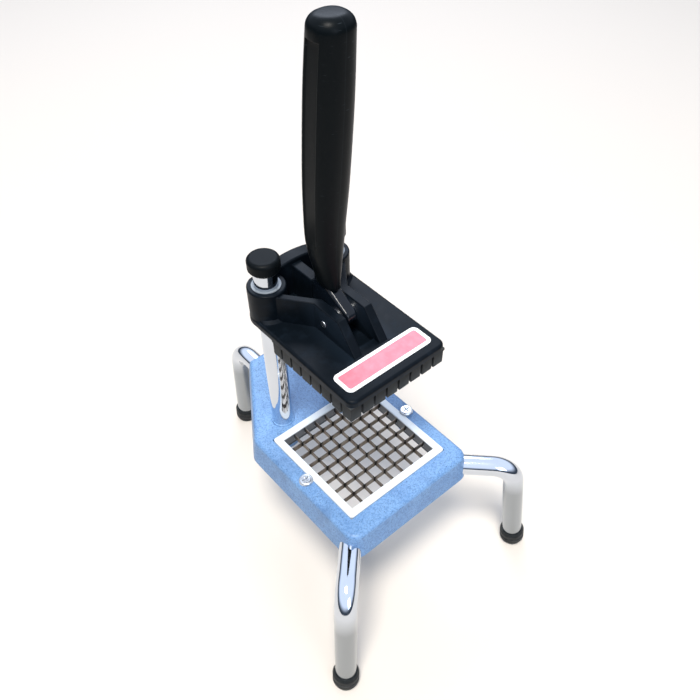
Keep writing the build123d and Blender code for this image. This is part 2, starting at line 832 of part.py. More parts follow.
def save(nodes):
    """Move every node to the footprint's frame and write it."""
    feet = [solid for name, solids in nodes.items() if name.startswith("foot_") for solid in solids]
    footprint = Compound(children=[Compound(foot.wrapped) for foot in feet]).bounding_box()
    middle = (footprint.min.Y + footprint.max.Y) / 2
    print("window centre in the part's frame", 0, -middle, base_height)
    os.makedirs("parts", exist_ok=True)
    for name, solids in nodes.items():
        moved = []
        for shape in solids:
            moved += (Pos(0, -middle, base_height) * shape).solids()
        export_step(Compound(children=moved), f"parts/{name}.step")


save(build())
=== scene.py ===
import math

import bpy
from mathutils import Matrix, Vector


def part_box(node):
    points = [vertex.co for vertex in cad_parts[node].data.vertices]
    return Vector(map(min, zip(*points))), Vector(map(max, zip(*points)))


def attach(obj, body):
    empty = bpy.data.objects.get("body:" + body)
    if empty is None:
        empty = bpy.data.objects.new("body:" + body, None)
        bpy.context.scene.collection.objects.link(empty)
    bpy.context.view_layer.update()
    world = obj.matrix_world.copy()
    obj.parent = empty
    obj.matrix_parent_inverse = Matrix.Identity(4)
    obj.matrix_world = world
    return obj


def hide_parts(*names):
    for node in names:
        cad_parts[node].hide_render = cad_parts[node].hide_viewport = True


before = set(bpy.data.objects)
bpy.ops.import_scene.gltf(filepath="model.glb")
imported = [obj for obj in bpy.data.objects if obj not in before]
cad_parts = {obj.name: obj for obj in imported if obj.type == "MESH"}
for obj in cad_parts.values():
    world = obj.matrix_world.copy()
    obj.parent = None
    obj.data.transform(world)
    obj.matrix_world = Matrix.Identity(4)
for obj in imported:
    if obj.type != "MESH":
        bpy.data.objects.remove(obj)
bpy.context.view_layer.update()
print("frame loaded:", len(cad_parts), "CAD nodes")


def mm(*values):
    metres = [value / 1000 for value in values]
    return metres[0] if len(metres) == 1 else Vector(metres)


def fromHex(code):
    # sRGB hex to the linear colour that the shaders take
    channels = [int(code[i:i + 2], 16) / 255 for i in (1, 3, 5)]
    linear = [c / 12.92 if c <= 0.04045 else ((c + 0.055) / 1.055) ** 2.4 for c in channels]
    return (*linear, 1.0)


def addNode(tree, kind, settings=None, values=None):
    # settings are the node's own properties; a value is a number, a colour or another node's output
    # (inputs 6 and 7 of a colour mix are its two colours, and output 2 is the mixed one)
    node = tree.nodes.new(kind)
    for name, value in (settings or {}).items():
        setattr(node, name, value)
    for name, value in (values or {}).items():
        if isinstance(value, bpy.types.NodeSocket):
            tree.links.new(value, node.inputs[name])
        else:
            node.inputs[name].default_value = value
    return node


def newMaterial(name):
    material = bpy.data.materials.new(name)
    material.use_nodes = True
    tree = material.node_tree
    tree.nodes.clear()
    place = addNode(tree, "ShaderNodeTexCoord").outputs["Object"]
    return material, tree, place


def finishMaterial(tree, values):
    shader = addNode(tree, "ShaderNodeBsdfPrincipled", {}, values)
    addNode(tree, "ShaderNodeOutputMaterial", {}, {"Surface": shader.outputs["BSDF"]})


# the cutting window in the part's frame; the last four say where the painted shade on its walls fades into
# the faces
windowSizes = {
    "middle": -37.444, "top": 119.0, "frameHalf": 40.0, "baseHalf": 41.0, "pitch": 10.0,
    "fadeStart": 0.2, "fadeEnd": 1.4, "outside": 0.4, "inside": 0.1,
}


def paintedWindowShade(tree, place, half):
    # painted shade: 1 on the walls of the cutting window, 0 on the faces round it
    axes = addNode(tree, "ShaderNodeSeparateXYZ", {}, {0: place})
    across = addNode(tree, "ShaderNodeMath", {"operation": "ABSOLUTE"}, {0: axes.outputs["X"]})
    offset = addNode(tree, "ShaderNodeMath", {"operation": "SUBTRACT"},
                     {0: axes.outputs["Y"], 1: mm(windowSizes["middle"])})
    along = addNode(tree, "ShaderNodeMath", {"operation": "ABSOLUTE"}, {0: offset.outputs[0]})
    far = addNode(tree, "ShaderNodeMath", {"operation": "MAXIMUM"},
                  {0: across.outputs[0], 1: along.outputs[0]})
    low = addNode(tree, "ShaderNodeMapRange", {},
                  {"Value": axes.outputs["Z"],
                   "From Min": mm(windowSizes["top"] - windowSizes["fadeStart"]),
                   "From Max": mm(windowSizes["top"] - windowSizes["fadeEnd"])})
    near = addNode(tree, "ShaderNodeMapRange", {},
                   {"Value": far.outputs[0], "From Min": mm(half + windowSizes["outside"]),
                    "From Max": mm(half + windowSizes["inside"])})
    return addNode(tree, "ShaderNodeMath", {"operation": "MULTIPLY"},
                   {0: near.outputs[0], 1: low.outputs[0]}).outputs[0]


# materials: each is named for what the real surface is

def hammeredEnamel():
    # hammer-tone stove enamel on a casting: pebbled light blue with fine dark pits, soft gloss,
    # cloudy stains where it is handled, and painted shade on the walls inside the window
    look = {
        "paint": "#779ecb", "deep": "#4d76aa", "pit": "#324a6e", "stain": "#4a678f", "wall": "#26313f",
        "pebble": 1.5, "pitSize": 0.75, "cloud": 16.0, "stainSize": 34.0, "relief": 0.13,
    }
    material, tree, place = newMaterial("hammered enamel")
    cells = addNode(tree, "ShaderNodeTexVoronoi", {"feature": "SMOOTH_F1"},
                    {"Vector": place, "Scale": 1000 / look["pebble"], "Smoothness": 0.6})
    fine = addNode(tree, "ShaderNodeTexNoise", {},
                   {"Vector": place, "Scale": 1000 / look["pitSize"], "Detail": 3.0})
    cloud = addNode(tree, "ShaderNodeTexNoise", {},
                    {"Vector": place, "Scale": 1000 / look["cloud"], "Detail": 4.0})
    valley = addNode(tree, "ShaderNodeMapRange", {},
                     {"Value": cells.outputs["Distance"], "From Min": 0.35, "From Max": 0.75,
                      "To Max": 0.55})
    tone = addNode(tree, "ShaderNodeMix", {"data_type": "RGBA"},
                   {"Factor": valley.outputs[0], 6: fromHex(look["paint"]), 7: fromHex(look["deep"])})
    patchy = addNode(tree, "ShaderNodeMapRange", {},
                     {"Value": cloud.outputs["Fac"], "From Min": 0.42, "From Max": 0.75,
                      "To Max": 0.35})
    worn = addNode(tree, "ShaderNodeMix", {"data_type": "RGBA"},
                   {"Factor": patchy.outputs[0], 6: tone.outputs[2], 7: fromHex(look["deep"])})
    pits = addNode(tree, "ShaderNodeMapRange", {},
                   {"Value": fine.outputs["Fac"], "From Min": 0.58, "From Max": 0.68,
                    "To Max": 0.85})
    pitted = addNode(tree, "ShaderNodeMix", {"data_type": "RGBA"},
                     {"Factor": pits.outputs[0], 6: worn.outputs[2], 7: fromHex(look["pit"])})
    smear = addNode(tree, "ShaderNodeTexNoise", {},
                    {"Vector": place, "Scale": 1000 / look["stainSize"], "Detail": 7.0, "Roughness": 0.6})
    stained = addNode(tree, "ShaderNodeMapRange", {},
                      {"Value": smear.outputs["Fac"], "From Min": 0.56, "From Max": 0.72,
                       "To Max": 0.6})
    handled = addNode(tree, "ShaderNodeMix", {"data_type": "RGBA"},
                      {"Factor": stained.outputs[0], 6: pitted.outputs[2], 7: fromHex(look["stain"])})
    # painted shade on the walls inside the window
    wall = paintedWindowShade(tree, place, windowSizes["baseHalf"])
    colour = addNode(tree, "ShaderNodeMix", {"data_type": "RGBA"},
                     {"Factor": wall, 6: handled.outputs[2], 7: fromHex(look["wall"])})
    bump = addNode(tree, "ShaderNodeBump", {},
                   {"Height": cells.outputs["Distance"], "Strength": 0.35,
                    "Distance": mm(look["relief"])})
    finishMaterial(tree, {"Base Color": colour.outputs[2], "Roughness": 0.42,
                          "Normal": bump.outputs[0], "IOR": 1.5, "Specular IOR Level": 0.35})
    return material


def whiteEnamel():
    # gloss white enamel on the blade frame, with faint handling marks and painted shade on the inner walls
    look = {
        "paint": "#dde3e6", "mark": "#b9bbb8", "wall": "#4a5058",
        "markSize": 4.0, "orangePeel": 0.9, "relief": 0.05,
    }
    material, tree, place = newMaterial("white enamel")
    marks = addNode(tree, "ShaderNodeTexNoise", {},
                    {"Vector": place, "Scale": 1000 / look["markSize"], "Detail": 5.0})
    share = addNode(tree, "ShaderNodeMapRange", {},
                    {"Value": marks.outputs["Fac"], "From Min": 0.6, "From Max": 0.8, "To Max": 0.5})
    marked = addNode(tree, "ShaderNodeMix", {"data_type": "RGBA"},
                     {"Factor": share.outputs[0], 6: fromHex(look["paint"]), 7: fromHex(look["mark"])})
    # painted shade on the walls inside the window
    wall = paintedWindowShade(tree, place, windowSizes["frameHalf"])
    colour = addNode(tree, "ShaderNodeMix", {"data_type": "RGBA"},
                     {"Factor": wall, 6: marked.outputs[2], 7: fromHex(look["wall"])})
    peel = addNode(tree, "ShaderNodeTexNoise", {},
                   {"Vector": place, "Scale": 1000 / look["orangePeel"], "Detail": 1.0})
    bump = addNode(tree, "ShaderNodeBump", {},
                   {"Height": peel.outputs["Fac"], "Strength": 0.08, "Distance": mm(look["relief"])})
    finishMaterial(tree, {"Base Color": colour.outputs[2], "Roughness": 0.28,
                          "Normal": bump.outputs[0], "IOR": 1.5})
    return material


def groundSteel():
    # stainless strip, ground along its length; its brown is a painted reflection of a beige ground, patchy
    # at random, with painted shade where strips cross
    look = {
        "steel": "#746e66", "stain": "#4c4036", "crossingShade": "#17140f",
        "grain": 0.35, "ground": (0.05, 0.05, 1.0), "relief": 0.03,
        "stainSize": 9.0, "crossingShadeReach": 2.2, "crossingShadeCore": 0.8,
    }
    material, tree, place = newMaterial("ground stainless strip")
    flat = addNode(tree, "ShaderNodeMapping", {}, {"Vector": place, "Scale": look["ground"]})
    grain = addNode(tree, "ShaderNodeTexNoise", {},
                    {"Vector": flat.outputs[0], "Scale": 1000 / look["grain"], "Detail": 2.0})
    stain = addNode(tree, "ShaderNodeTexNoise", {},
                    {"Vector": place, "Scale": 1000 / look["stainSize"], "Detail": 4.0})
    share = addNode(tree, "ShaderNodeMapRange", {},
                    {"Value": stain.outputs["Fac"], "From Min": 0.3, "From Max": 0.7})
    # both browns paint the reflection of a beige ground; the noise only patches them
    stained = addNode(tree, "ShaderNodeMix", {"data_type": "RGBA"},
                      {"Factor": share.outputs[0], 6: fromHex(look["steel"]), 7: fromHex(look["stain"])})
    axes = addNode(tree, "ShaderNodeSeparateXYZ", {}, {0: place})
    fromMiddle = addNode(tree, "ShaderNodeMath", {"operation": "SUBTRACT"},
                         {0: axes.outputs["Y"], 1: mm(windowSizes["middle"])})
    half = mm(windowSizes["pitch"]) / 2
    across = addNode(tree, "ShaderNodeMath", {"operation": "PINGPONG"}, {0: axes.outputs["X"], 1: half})
    along = addNode(tree, "ShaderNodeMath", {"operation": "PINGPONG"}, {0: fromMiddle.outputs[0], 1: half})
    gap = addNode(tree, "ShaderNodeMath", {"operation": "MAXIMUM"},
                  {0: across.outputs[0], 1: along.outputs[0]})
    # painted shade: darker within a short reach of each crossing
    crossingShadeShare = addNode(tree, "ShaderNodeMapRange", {},
                       {"Value": gap.outputs[0], "From Min": mm(look["crossingShadeReach"]),
                        "From Max": mm(look["crossingShadeCore"]), "To Max": 0.9})
    colour = addNode(tree, "ShaderNodeMix", {"data_type": "RGBA"},
                     {"Factor": crossingShadeShare.outputs[0], 6: stained.outputs[2], 7: fromHex(look["crossingShade"])})
    rough = addNode(tree, "ShaderNodeMapRange", {},
                    {"Value": grain.outputs["Fac"], "To Min": 0.3, "To Max": 0.5})
    bump = addNode(tree, "ShaderNodeBump", {},
                   {"Height": grain.outputs["Fac"], "Strength": 0.15, "Distance": mm(look["relief"])})
    finishMaterial(tree, {"Base Color": colour.outputs[2], "Metallic": 1.0,
                          "Roughness": rough.outputs[0], "Normal": bump.outputs[0]})
    return material


def chromePlate():
    # decorative chrome on tube: mirror bright above with random dull patches, and greyer towards the feet
    # as a painted darker reflection of the ground
    look = {
        "metal": "#d3d9e2", "dullAndLowReflection": "#9da2a6", "grain": 0.5, "drawn": (1.0, 1.0, 0.04),
        "relief": 0.01, "patch": 22.0, "lowReflectionFrom": 92.0, "lowReflectionFull": 70.0,
    }
    material, tree, place = newMaterial("chrome plate")
    drawn = addNode(tree, "ShaderNodeMapping", {}, {"Vector": place, "Scale": look["drawn"]})
    grain = addNode(tree, "ShaderNodeTexNoise", {},
                    {"Vector": drawn.outputs[0], "Scale": 1000 / look["grain"], "Detail": 2.0})
    patch = addNode(tree, "ShaderNodeTexNoise", {},
                    {"Vector": place, "Scale": 1000 / look["patch"], "Detail": 3.0})
    axes = addNode(tree, "ShaderNodeSeparateXYZ", {}, {0: place})
    # painted reflection: greyer below a height, standing in for the darker ground that the lower legs
    # mirror
    height = addNode(tree, "ShaderNodeMapRange", {},
                     {"Value": axes.outputs["Z"], "From Min": mm(look["lowReflectionFrom"]),
                      "From Max": mm(look["lowReflectionFull"])})
    cloudy = addNode(tree, "ShaderNodeMath", {"operation": "MULTIPLY_ADD"},
                     {0: patch.outputs["Fac"], 1: 0.3, 2: height.outputs[0]})
    colour = addNode(tree, "ShaderNodeMix", {"data_type": "RGBA"},
                     {"Factor": cloudy.outputs[0], 6: fromHex(look["metal"]), 7: fromHex(look["dullAndLowReflection"])})
    rough = addNode(tree, "ShaderNodeMapRange", {},
                    {"Value": cloudy.outputs[0], "To Min": 0.05, "To Max": 0.2})
    bump = addNode(tree, "ShaderNodeBump", {},
                   {"Height": grain.outputs["Fac"], "Strength": 0.05, "Distance": mm(look["relief"])})
    finishMaterial(tree, {"Base Color": colour.outputs[2], "Metallic": 1.0,
                          "Roughness": rough.outputs[0], "Normal": bump.outputs[0]})
    return material


def zincPlate():
    # bright zinc plating on screws: soft metallic with fine tumbling marks
    look = {"metal": "#eceef0", "shade": "#b4b8bd", "marks": 0.8, "relief": 0.03}
    material, tree, place = newMaterial("bright zinc plate")
    marks = addNode(tree, "ShaderNodeTexNoise", {},
                    {"Vector": place, "Scale": 1000 / look["marks"], "Detail": 4.0})
    colour = addNode(tree, "ShaderNodeMix", {"data_type": "RGBA"},
                     {"Factor": marks.outputs["Fac"], 6: fromHex(look["metal"]), 7: fromHex(look["shade"])})
    rough = addNode(tree, "ShaderNodeMapRange", {},
                    {"Value": marks.outputs["Fac"], "To Min": 0.18, "To Max": 0.4})
    bump = addNode(tree, "ShaderNodeBump", {},
                   {"Height": marks.outputs["Fac"], "Strength": 0.15, "Distance": mm(look["relief"])})
    finishMaterial(tree, {"Base Color": colour.outputs[2], "Metallic": 1.0,
                          "Roughness": rough.outputs[0], "Normal": bump.outputs[0]})
    return material


def darkMetal(name, base, worn, roughness, texture, crestWearAndHighlightShare, gloss):
    # black enamel or oil over rough metal: dark, slightly blue, with a fine skin; lighter on crests, partly
    # rubbed wear and partly a painted highlight along the edges
    look = {"rubSize": 11.0, "relief": 0.05}
    material, tree, place = newMaterial(name)
    skin = addNode(tree, "ShaderNodeTexNoise", {},
                   {"Vector": place, "Scale": 1000 / texture, "Detail": 3.0})
    rub = addNode(tree, "ShaderNodeTexNoise", {},
                  {"Vector": place, "Scale": 1000 / look["rubSize"], "Detail": 6.0, "Roughness": 0.65})
    edge = addNode(tree, "ShaderNodeNewGeometry")
    # crests lighter: partly rubbed wear, partly a painted highlight
    crestWearAndHighlight = addNode(tree, "ShaderNodeMapRange", {},
                    {"Value": edge.outputs["Pointiness"], "From Min": 0.52, "From Max": 0.62,
                     "To Max": crestWearAndHighlightShare})
    dust = addNode(tree, "ShaderNodeMapRange", {},
                   {"Value": rub.outputs["Fac"], "From Min": 0.5, "From Max": 0.8, "To Max": 0.3})
    share = addNode(tree, "ShaderNodeMath", {"operation": "MAXIMUM"},
                    {0: crestWearAndHighlight.outputs[0], 1: dust.outputs[0]})
    colour = addNode(tree, "ShaderNodeMix", {"data_type": "RGBA"},
                     {"Factor": share.outputs[0], 6: fromHex(base), 7: fromHex(worn)})
    rough = addNode(tree, "ShaderNodeMapRange", {},
                    {"Value": rub.outputs["Fac"], "From Min": 0.3, "From Max": 0.7,
                     "To Min": roughness - 0.05, "To Max": roughness + 0.08})
    bump = addNode(tree, "ShaderNodeBump", {},
                   {"Height": skin.outputs["Fac"], "Strength": 0.2, "Distance": mm(look["relief"])})
    finishMaterial(tree, {"Base Color": colour.outputs[2], "Roughness": rough.outputs[0],
                          "Normal": bump.outputs[0], "IOR": 1.5, "Specular IOR Level": gloss})
    return material


def mouldedPlastic(name, base, pale, roughness):
    # injection-moulded black ABS: satin, with scattered pale scuffs and a faint parting line
    look = {
        "scuffLength": 5.0, "scuffWidth": 0.5, "scuffSlant": (0, 20, 35),
        "grit": 0.6, "relief": 0.04, "seam": 0.25, "seamCore": 0.05,
    }
    material, tree, place = newMaterial(name)
    slanted = addNode(tree, "ShaderNodeMapping", {},
                      {"Vector": place, "Rotation": [math.radians(angle) for angle in look["scuffSlant"]],
                       "Scale": (1 / look["scuffLength"], 1 / look["scuffLength"],
                                 1 / look["scuffWidth"])})
    scuffs = addNode(tree, "ShaderNodeTexNoise", {},
                     {"Vector": slanted.outputs[0], "Scale": 1000.0, "Detail": 1.0})
    share = addNode(tree, "ShaderNodeMapRange", {},
                    {"Value": scuffs.outputs["Fac"], "From Min": 0.72, "From Max": 0.8, "To Max": 0.3})
    axes = addNode(tree, "ShaderNodeSeparateXYZ", {}, {0: place})
    aside = addNode(tree, "ShaderNodeMath", {"operation": "ABSOLUTE"}, {0: axes.outputs["X"]})
    seam = addNode(tree, "ShaderNodeMapRange", {},
                   {"Value": aside.outputs[0], "From Min": mm(look["seam"]),
                    "From Max": mm(look["seamCore"]), "To Max": 0.1})
    marked = addNode(tree, "ShaderNodeMath", {"operation": "MAXIMUM"},
                     {0: share.outputs[0], 1: seam.outputs[0]})
    colour = addNode(tree, "ShaderNodeMix", {"data_type": "RGBA"},
                     {"Factor": marked.outputs[0], 6: fromHex(base), 7: fromHex(pale)})
    grit = addNode(tree, "ShaderNodeTexNoise", {},
                   {"Vector": place, "Scale": 1000 / look["grit"], "Detail": 2.0})
    rough = addNode(tree, "ShaderNodeMapRange", {},
                    {"Value": grit.outputs["Fac"], "To Min": roughness - 0.05,
                     "To Max": roughness + 0.1})
    bump = addNode(tree, "ShaderNodeBump", {},
                   {"Height": grit.outputs["Fac"], "Strength": 0.12, "Distance": mm(look["relief"])})
    finishMaterial(tree, {"Base Color": colour.outputs[2], "Roughness": rough.outputs[0],
                          "Normal": bump.outputs[0], "IOR": 1.54, "Specular IOR Level": 0.06})
    return material


def mouldedRubber():
    # carbon-black rubber: deep matt black with a dusty bloom
    look = {"rubber": "#15191b", "bloom": "#363b3d", "bloomSize": 3.0, "relief": 0.08}
    material, tree, place = newMaterial("moulded rubber")
    bloom = addNode(tree, "ShaderNodeTexNoise", {},
                    {"Vector": place, "Scale": 1000 / look["bloomSize"], "Detail": 5.0})
    share = addNode(tree, "ShaderNodeMapRange", {},
                    {"Value": bloom.outputs["Fac"], "From Min": 0.45, "From Max": 0.8, "To Max": 0.5})
    colour = addNode(tree, "ShaderNodeMix", {"data_type": "RGBA"},
                     {"Factor": share.outputs[0], 6: fromHex(look["rubber"]), 7: fromHex(look["bloom"])})
    bump = addNode(tree, "ShaderNodeBump", {},
                   {"Height": bloom.outputs["Fac"], "Strength": 0.2, "Distance": mm(look["relief"])})
    finishMaterial(tree, {"Base Color": colour.outputs[2], "Roughness": 0.5,
                          "Normal": bump.outputs[0], "IOR": 1.52, "Specular IOR Level": 0.2})
    return material


def vinyl(name, ink, faded):
    # printed vinyl sticker: even colour, slightly faded, smooth
    look = {"fade": 6.0, "relief": 0.05}
    material, tree, place = newMaterial(name)
    fade = addNode(tree, "ShaderNodeTexNoise", {},
                   {"Vector": place, "Scale": 1000 / look["fade"], "Detail": 3.0})
    share = addNode(tree, "ShaderNodeMapRange", {},
                    {"Value": fade.outputs["Fac"], "From Min": 0.4, "From Max": 0.75, "To Max": 0.5})
    colour = addNode(tree, "ShaderNodeMix", {"data_type": "RGBA"},
                     {"Factor": share.outputs[0], 6: fromHex(ink), 7: fromHex(faded)})
    bump = addNode(tree, "ShaderNodeBump", {},
                   {"Height": fade.outputs["Fac"], "Strength": 0.05, "Distance": mm(look["relief"])})
    finishMaterial(tree, {"Base Color": colour.outputs[2], "Roughness": 0.35,
                          "Normal": bump.outputs[0], "IOR": 1.5})
    return material


enamelBlue = hammeredEnamel()
enamelWhite = whiteEnamel()
stripSteel = groundSteel()
chromeTube = chromePlate()
zincScrew = zincPlate()
castBlack = darkMetal("black enamelled casting", "#090f15", "#25313e", 0.36, 0.5, 0.5, 0.07)
castPegs = darkMetal("rubbed black casting", "#15191b", "#43484b", 0.5, 0.6, 0.7, 0.12)
forgedBlack = darkMetal("black enamelled forging", "#0a0f15", "#243242", 0.18, 0.9, 0.3, 0.3)
capPlastic = mouldedPlastic("moulded cap plastic", "#070b0e", "#24292e", 0.4)
gripPlastic = mouldedPlastic("moulded ABS", "#070c0f", "#4a525a", 0.33)
bushSteel = darkMetal("oiled turned steel", "#3a4046", "#8d959c", 0.3, 0.4, 0.6, 0.5)
rubber = mouldedRubber()
labelWhite = vinyl("white vinyl", "#f4f4f2", "#e2e2df")
labelRed = vinyl("red vinyl", "#e86b7c", "#f08c9a")

nodeFinish = {
    "base_plate": enamelBlue,
    "blade_frame": enamelWhite,
    "blade_strips_lengthwise": stripSteel,
    "blade_strips_across": stripSteel,
    "pusher_head": castBlack,
    "peg_block": castPegs,
    "lever_arm": forgedBlack,
    "handle_grip": gripPlastic,
    "blank_label": labelWhite,
}
finishByStart = {
    "column_cap": capPlastic, "column_washers": zincScrew, "column_bolts": zincScrew,
    "column": chromeTube, "leg_set": zincScrew, "leg": chromeTube, "foot": rubber,
    "stop_rings": rubber, "guide_bushes": bushSteel,
}
for name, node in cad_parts.items():
    started = [finish for start, finish in finishByStart.items() if name.startswith(start)]
    finish = nodeFinish.get(name) or (started[0] if started else zincScrew)
    node.data.materials.clear()
    node.data.materials.append(finish)
print("finishes given to the CAD nodes")


def startPiece(name):
    piece = bpy.context.active_object
    piece.name = name
    piece.data.name = name
    return piece


def pickFaces(piece, test):
    bpy.ops.object.mode_set(mode="OBJECT")
    for face in piece.data.polygons:
        face.select = test(face.center)
    for edge in piece.data.edges:
        edge.select = False
    for vertex in piece.data.vertices:
        vertex.select = False
    bpy.ops.object.mode_set(mode="EDIT")
    bpy.ops.mesh.select_mode(type="FACE")


def pickPoints(piece, test):
    bpy.ops.object.mode_set(mode="OBJECT")
    for face in piece.data.polygons:
        face.select = False
    for edge in piece.data.edges:
        edge.select = False
    for vertex in piece.data.vertices:
        vertex.select = test(vertex)
    bpy.ops.object.mode_set(mode="EDIT")
    bpy.ops.mesh.select_mode(type="VERT")


def settlePiece(piece):
    # place and turn go into the mesh, so the object sits at the origin
    bpy.ops.object.mode_set(mode="OBJECT")
    bpy.ops.object.select_all(action="DESELECT")
    piece.select_set(True)
    bpy.context.view_layer.objects.active = piece
    bpy.ops.object.transform_apply(location=True, rotation=True, scale=True)


# the grip: moulded ABS, with a sunken flat on each side

gripSizes = {
    "rowStep": 3.5,          # mm between rows up the grip
    "firstRow": 0.1,         # above the bottom, so that the first rays meet the grip
    "rayStart": 200.0,       # how far outside the grip the rays begin
    "skin": 0.05,            # how far inside the CAD grip it stays
    "smoothing": 12,
    "roundness": 0.9,        # 1 is a true oval, less is squarer
    "cornerSteps": 12,
    "domeHeight": 6.5,
    "domeTurn": 88.0,        # degrees the dome turns through; the last row closes it
    "domeSteps": 9,
    "panelLow": 33.0,        # above the grip's bottom
    "panelTop": 4.5,         # below the dome's start
    "panelShare": 0.42,      # panel's half depth as a share of the grip's
    "panelEdge": 0.93,       # grip's half width at the panel's edge, as a share
    "panelDepth": 0.9,       # step at the panel's long edges
    "rampLength": 13.0,
    "rimWidth": 0.5,
    "edgeRound": 0.35,
    "edgeSteps": 3,
    "sharpAngle": 32.0,      # degrees between faces that are rounded
    "smoothAngle": 40.0,
    "sameRow": 0.06,         # points this near in height are one row
    "weld": 0.005,
}


def gripRow(cadGrip, z, far):
    # half width, half depth and middle of the CAD grip at one height
    low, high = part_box("handle_grip")
    front = cadGrip.ray_cast(Vector((0, low.y - far, z)), Vector((0, 1, 0)))[1].y
    back = cadGrip.ray_cast(Vector((0, high.y + far, z)), Vector((0, -1, 0)))[1].y
    middle = (front + back) / 2
    side = cadGrip.ray_cast(Vector((far, middle, z)), Vector((-1, 0, 0)))[1].x
    return side, (back - front) / 2, middle


def buildGrip(sizes):
    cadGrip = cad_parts["handle_grip"]
    low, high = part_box("handle_grip")
    shoulder = high.z - mm(sizes["domeHeight"])
    bottom = low.z + mm(sizes["skin"])
    count = round((shoulder - bottom) / mm(sizes["rowStep"]))
    heights = [bottom + (shoulder - bottom) * i / count for i in range(count + 1)]
    lowest = bottom + mm(sizes["firstRow"])
    rows = [gripRow(cadGrip, max(z, lowest), mm(sizes["rayStart"])) for z in heights]
    for _ in range(sizes["smoothing"]):   # evens out the facets that the rays meet
        rows = [rows[0]] + [
            tuple((a + 2 * b + c) / 4 for a, b, c in zip(before, row, after))
            for before, row, after in zip(rows, rows[1:], rows[2:])
        ] + [rows[-1]]
    skin = mm(sizes["skin"])
    width, depth, middle = rows[0]

    bpy.ops.object.select_all(action="DESELECT")
    bpy.ops.mesh.primitive_plane_add(size=2, location=(0, middle, bottom))
    grip = startPiece("grip_shell")
    bpy.ops.object.mode_set(mode="EDIT")
    bpy.ops.mesh.bevel(offset=sizes["roundness"], segments=sizes["cornerSteps"], affect="VERTICES")
    bpy.ops.mesh.select_all(action="SELECT")
    bpy.ops.transform.resize(value=(width - skin, depth - skin, 1))
    lastWidth, lastDepth, lastMiddle = width - skin, depth - skin, middle
    lastZ = bottom

    levels = [(z, w - skin, d - skin, m) for z, (w, d, m) in zip(heights[1:], rows[1:])]
    topWidth, topDepth, topMiddle = rows[-1]
    domeHeight = mm(sizes["domeHeight"]) - skin
    for step in range(1, sizes["domeSteps"] + 1):
        turn = math.radians(sizes["domeTurn"]) * step / sizes["domeSteps"]
        inset = domeHeight * (1 - math.cos(turn)) + skin
        levels.append((shoulder + domeHeight * math.sin(turn),
                       topWidth - inset, topDepth - inset, topMiddle))
    for z, halfWidth, halfDepth, centre in levels:
        bpy.ops.mesh.extrude_region_move(
            TRANSFORM_OT_translate={"value": (0, centre - lastMiddle, z - lastZ)})
        bpy.ops.transform.resize(
            value=(halfWidth / lastWidth, halfDepth / lastDepth, 1), center_override=(0, centre, z))
        lastWidth, lastDepth, lastMiddle, lastZ = halfWidth, halfDepth, centre, z
    settlePiece(grip)

    panelLow = low.z + mm(sizes["panelLow"])
    panelHigh = shoulder - mm(sizes["panelTop"])

    def rowAt(z):
        row = min(count, max(0.0, (z - bottom) / (shoulder - bottom) * count))
        under = min(count - 1, int(row))
        return [a + (b - a) * (row - under) for a, b in zip(rows[under], rows[under + 1])]

    def onPanel(point, side):
        # the same columns of faces at every height
        _, halfDepth, centre = rowAt(point.z)
        return side * point.x > 0 and abs(point.y - centre) < sizes["panelShare"] * halfDepth

    for side in (-1, 1):
        pickFaces(grip, lambda centre: panelLow < centre.z < panelHigh and onPanel(centre, side))
        bpy.ops.mesh.inset(thickness=mm(sizes["rimWidth"]), depth=0)
        bpy.ops.object.mode_set(mode="OBJECT")
        inner = {i for f in grip.data.polygons if f.select for i in f.vertices}
        levelsHere = sorted({round(grip.data.vertices[i].co.z, 4) for i in inner})
        for z in levelsHere:
            bpy.ops.object.mode_set(mode="OBJECT")
            here = {i for i in inner if abs(grip.data.vertices[i].co.z - z) < mm(sizes["sameRow"])}
            edge = rowAt(z)[0] * sizes["panelEdge"]
            rise = min(1.0, (z - levelsHere[0]) / mm(sizes["rampLength"]))
            kept = 1 - math.sin(rise * math.pi / 2)
            flat = side * (edge - mm(sizes["panelDepth"]))
            pickPoints(grip, lambda vertex: vertex.index in here)
            bpy.ops.transform.resize(value=(kept, 1, 1), center_override=(flat, 0, z))
    settlePiece(grip)
    return grip


bpy.context.view_layer.update()
grip = buildGrip(gripSizes)
bpy.ops.object.mode_set(mode="EDIT")
bpy.ops.mesh.select_all(action="SELECT")
bpy.ops.mesh.remove_doubles(threshold=mm(gripSizes["weld"]))
bpy.ops.mesh.normals_make_consistent(inside=False)
bpy.ops.object.mode_set(mode="OBJECT")
rounding = grip.modifiers.new("edge rounding", "BEVEL")
rounding.width = mm(gripSizes["edgeRound"])
rounding.segments = gripSizes["edgeSteps"]
rounding.limit_method = "ANGLE"
rounding.angle_limit = math.radians(gripSizes["sharpAngle"])
bpy.ops.object.modifier_apply(modifier=rounding.name)
bpy.ops.object.shade_smooth_by_angle(angle=math.radians(gripSizes["smoothAngle"]))
grip.data.materials.append(gripPlastic)
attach(grip, "lever")
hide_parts("handle_grip")
print("grip made:", len(grip.data.polygons), "faces")


# the label: a plain sticker with one red bar, no lettering

labelSizes = {
    "skin": 0.02, "corner": 4.0, "cornerSteps": 6, "border": 2.6, "edge": 0.1,
    "topShrink": (0.998, 0.99, 1),   # the top is a little smaller, so the edge is eased
}


